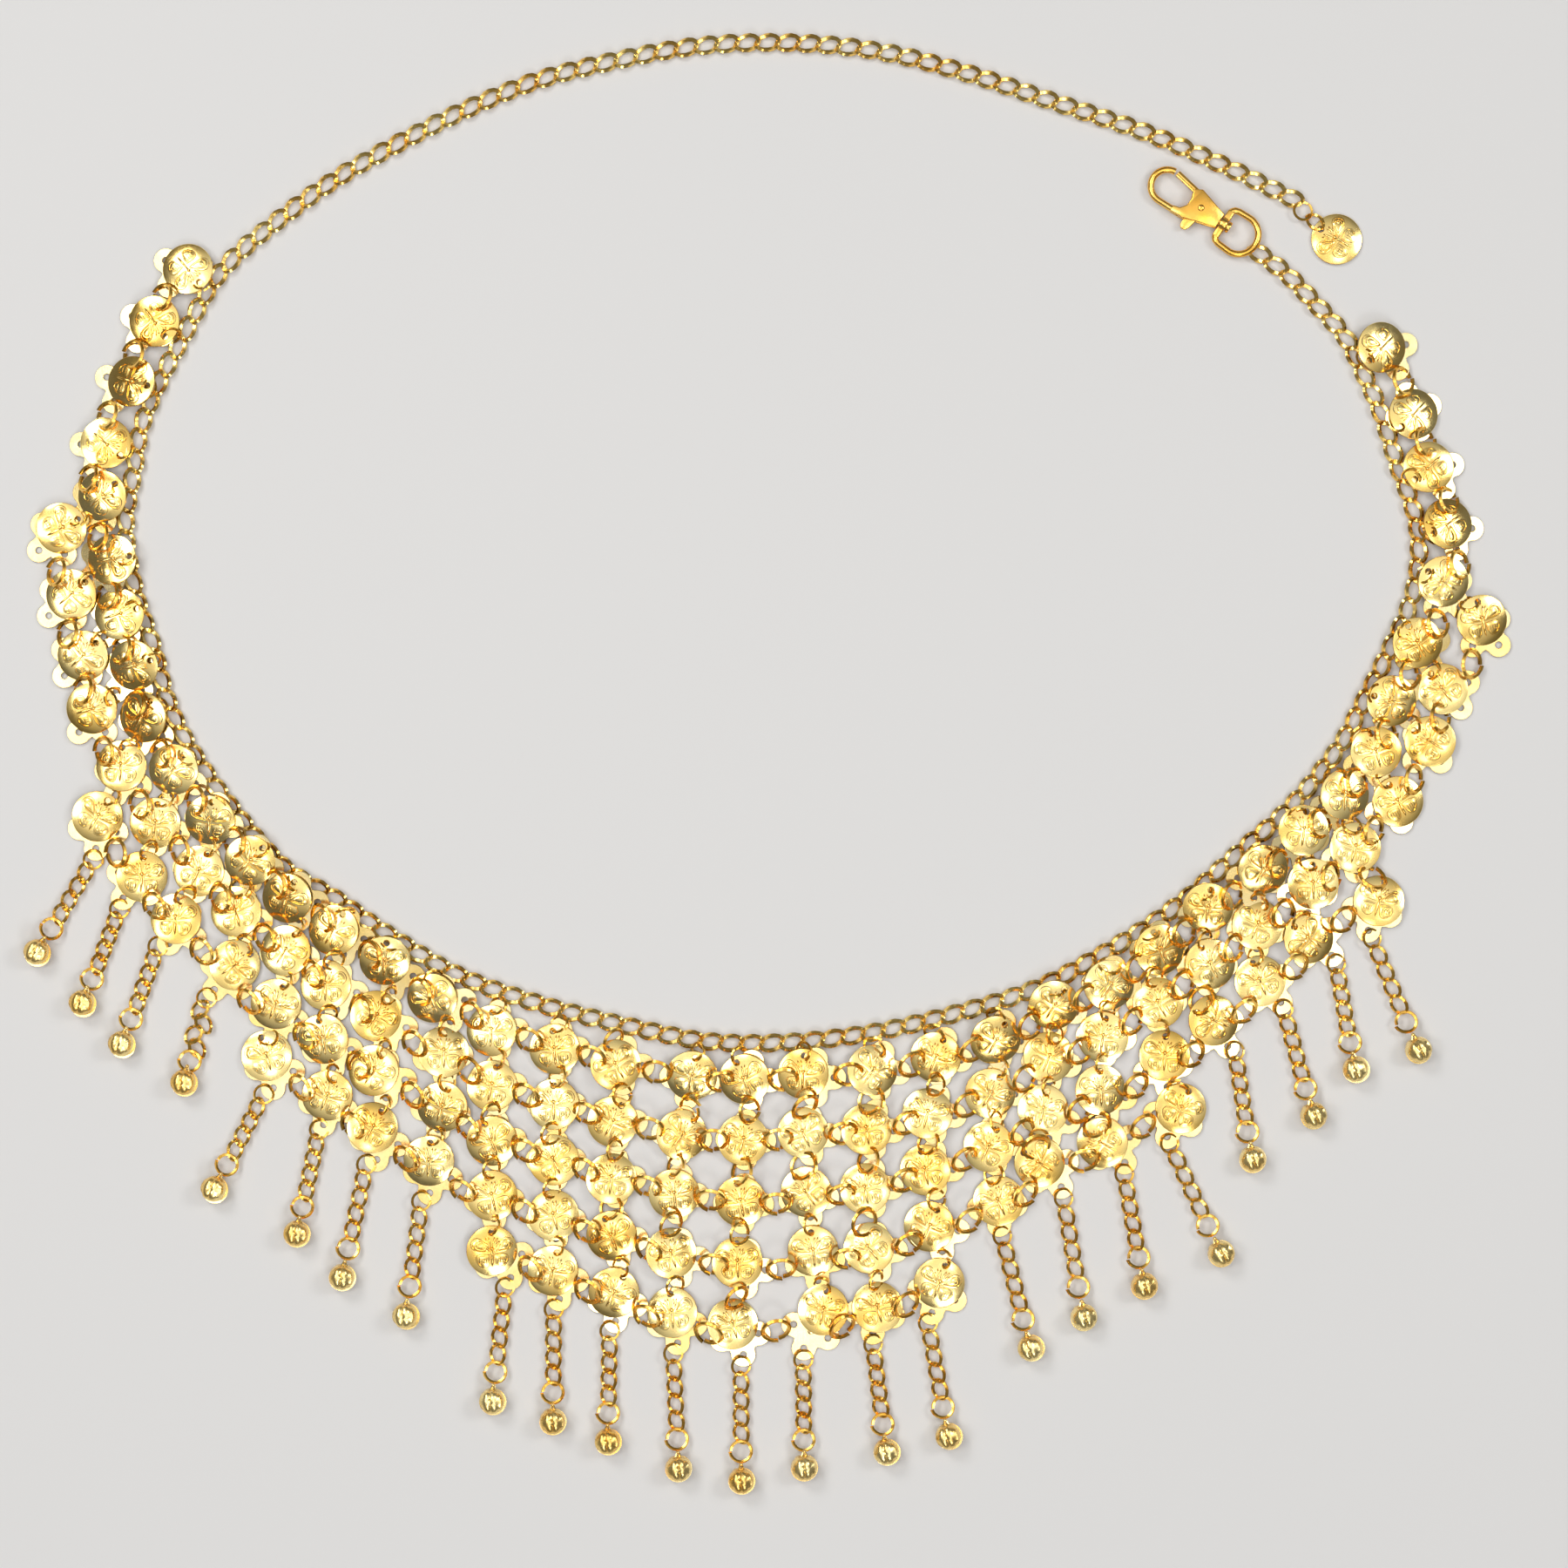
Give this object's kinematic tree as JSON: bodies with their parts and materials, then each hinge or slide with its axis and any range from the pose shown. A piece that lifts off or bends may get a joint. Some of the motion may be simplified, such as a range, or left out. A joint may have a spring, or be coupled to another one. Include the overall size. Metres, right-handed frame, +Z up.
{
  "type": "tassel waist chain",
  "caption": "Gold-tone metal waist chain laid flat, with a swivel hook, rows of hanging coins on linked four-lobed plates, and short chain drops that end in bells.",
  "frame": {"origin": "middle of the outline as laid flat, on the surface it lies on", "axes": "+X across the belt to the hook's side, +Y from the bells to the back of the chain, +Z up from the surface"},
  "size_m": [0.444, 0.435, 0.008],
  "materials": {
    "chain_gold": "polished gold-tone plating",
    "coin_gold": "polished gold-tone plating, stamped",
    "clasp_gold": "polished gold-tone plating"
  },
  "bodies": {
    "belt": {"waist_chain_01": "chain_gold", "waist_chain_02": "chain_gold", "waist_chain_03": "chain_gold", "waist_chain_04": "chain_gold", "waist_chain_05": "chain_gold", "waist_chain_06": "chain_gold", "waist_chain_07": "chain_gold", "waist_chain_08": "chain_gold", "waist_chain_09": "chain_gold", "waist_chain_10": "chain_gold", "waist_chain_11": "chain_gold", "waist_chain_12": "chain_gold", "waist_chain_13": "chain_gold", "waist_chain_14": "chain_gold", "waist_chain_15": "chain_gold", "waist_chain_16": "chain_gold", "strand_01": "coin_gold", "strand_02": "coin_gold", "strand_03": "coin_gold", "strand_04": "coin_gold", "strand_05": "coin_gold", "strand_06": "coin_gold", "strand_07": "coin_gold", "strand_08": "coin_gold", "strand_09": "coin_gold", "strand_10": "coin_gold", "strand_11": "coin_gold", "strand_12": "coin_gold", "strand_13": "coin_gold", "strand_14": "coin_gold", "strand_15": "coin_gold", "strand_16": "coin_gold", "strand_17": "coin_gold", "strand_18": "coin_gold", "strand_19": "coin_gold", "strand_20": "coin_gold", "strand_21": "coin_gold", "strand_22": "coin_gold", "strand_23": "coin_gold", "strand_24": "coin_gold", "strand_25": "coin_gold", "strand_26": "coin_gold", "strand_27": "coin_gold", "strand_28": "coin_gold", "strand_29": "coin_gold", "strand_30": "coin_gold", "strand_31": "coin_gold", "strand_32": "coin_gold", "strand_33": "coin_gold", "strand_34": "coin_gold", "strand_35": "coin_gold", "strand_36": "coin_gold", "strand_37": "coin_gold", "strand_38": "coin_gold", "strand_39": "coin_gold", "strand_40": "coin_gold", "end_coin": "coin_gold", "swivel_ring": "clasp_gold"},
    "hook": {"hook_body": "clasp_gold"},
    "lever": {"hook_lever": "clasp_gold"}
  },
  "joints": [
    {"name": "hook_swivel", "type": "hinge", "parent": "belt", "child": "hook", "pos_m": [0.13974, 0.15746, 0.0021], "axis": [-0.829, 0.5592, 0], "continuous": true},
    {"name": "lever_pivot", "type": "hinge", "parent": "hook", "child": "lever", "pos_m": [0.12838, 0.16512, 0.0021], "axis": [0, 0, 1], "range_deg": [0, 25], "stiffness_Nm_per_rad": 0.008, "springref_deg": -20.05}
  ]
}
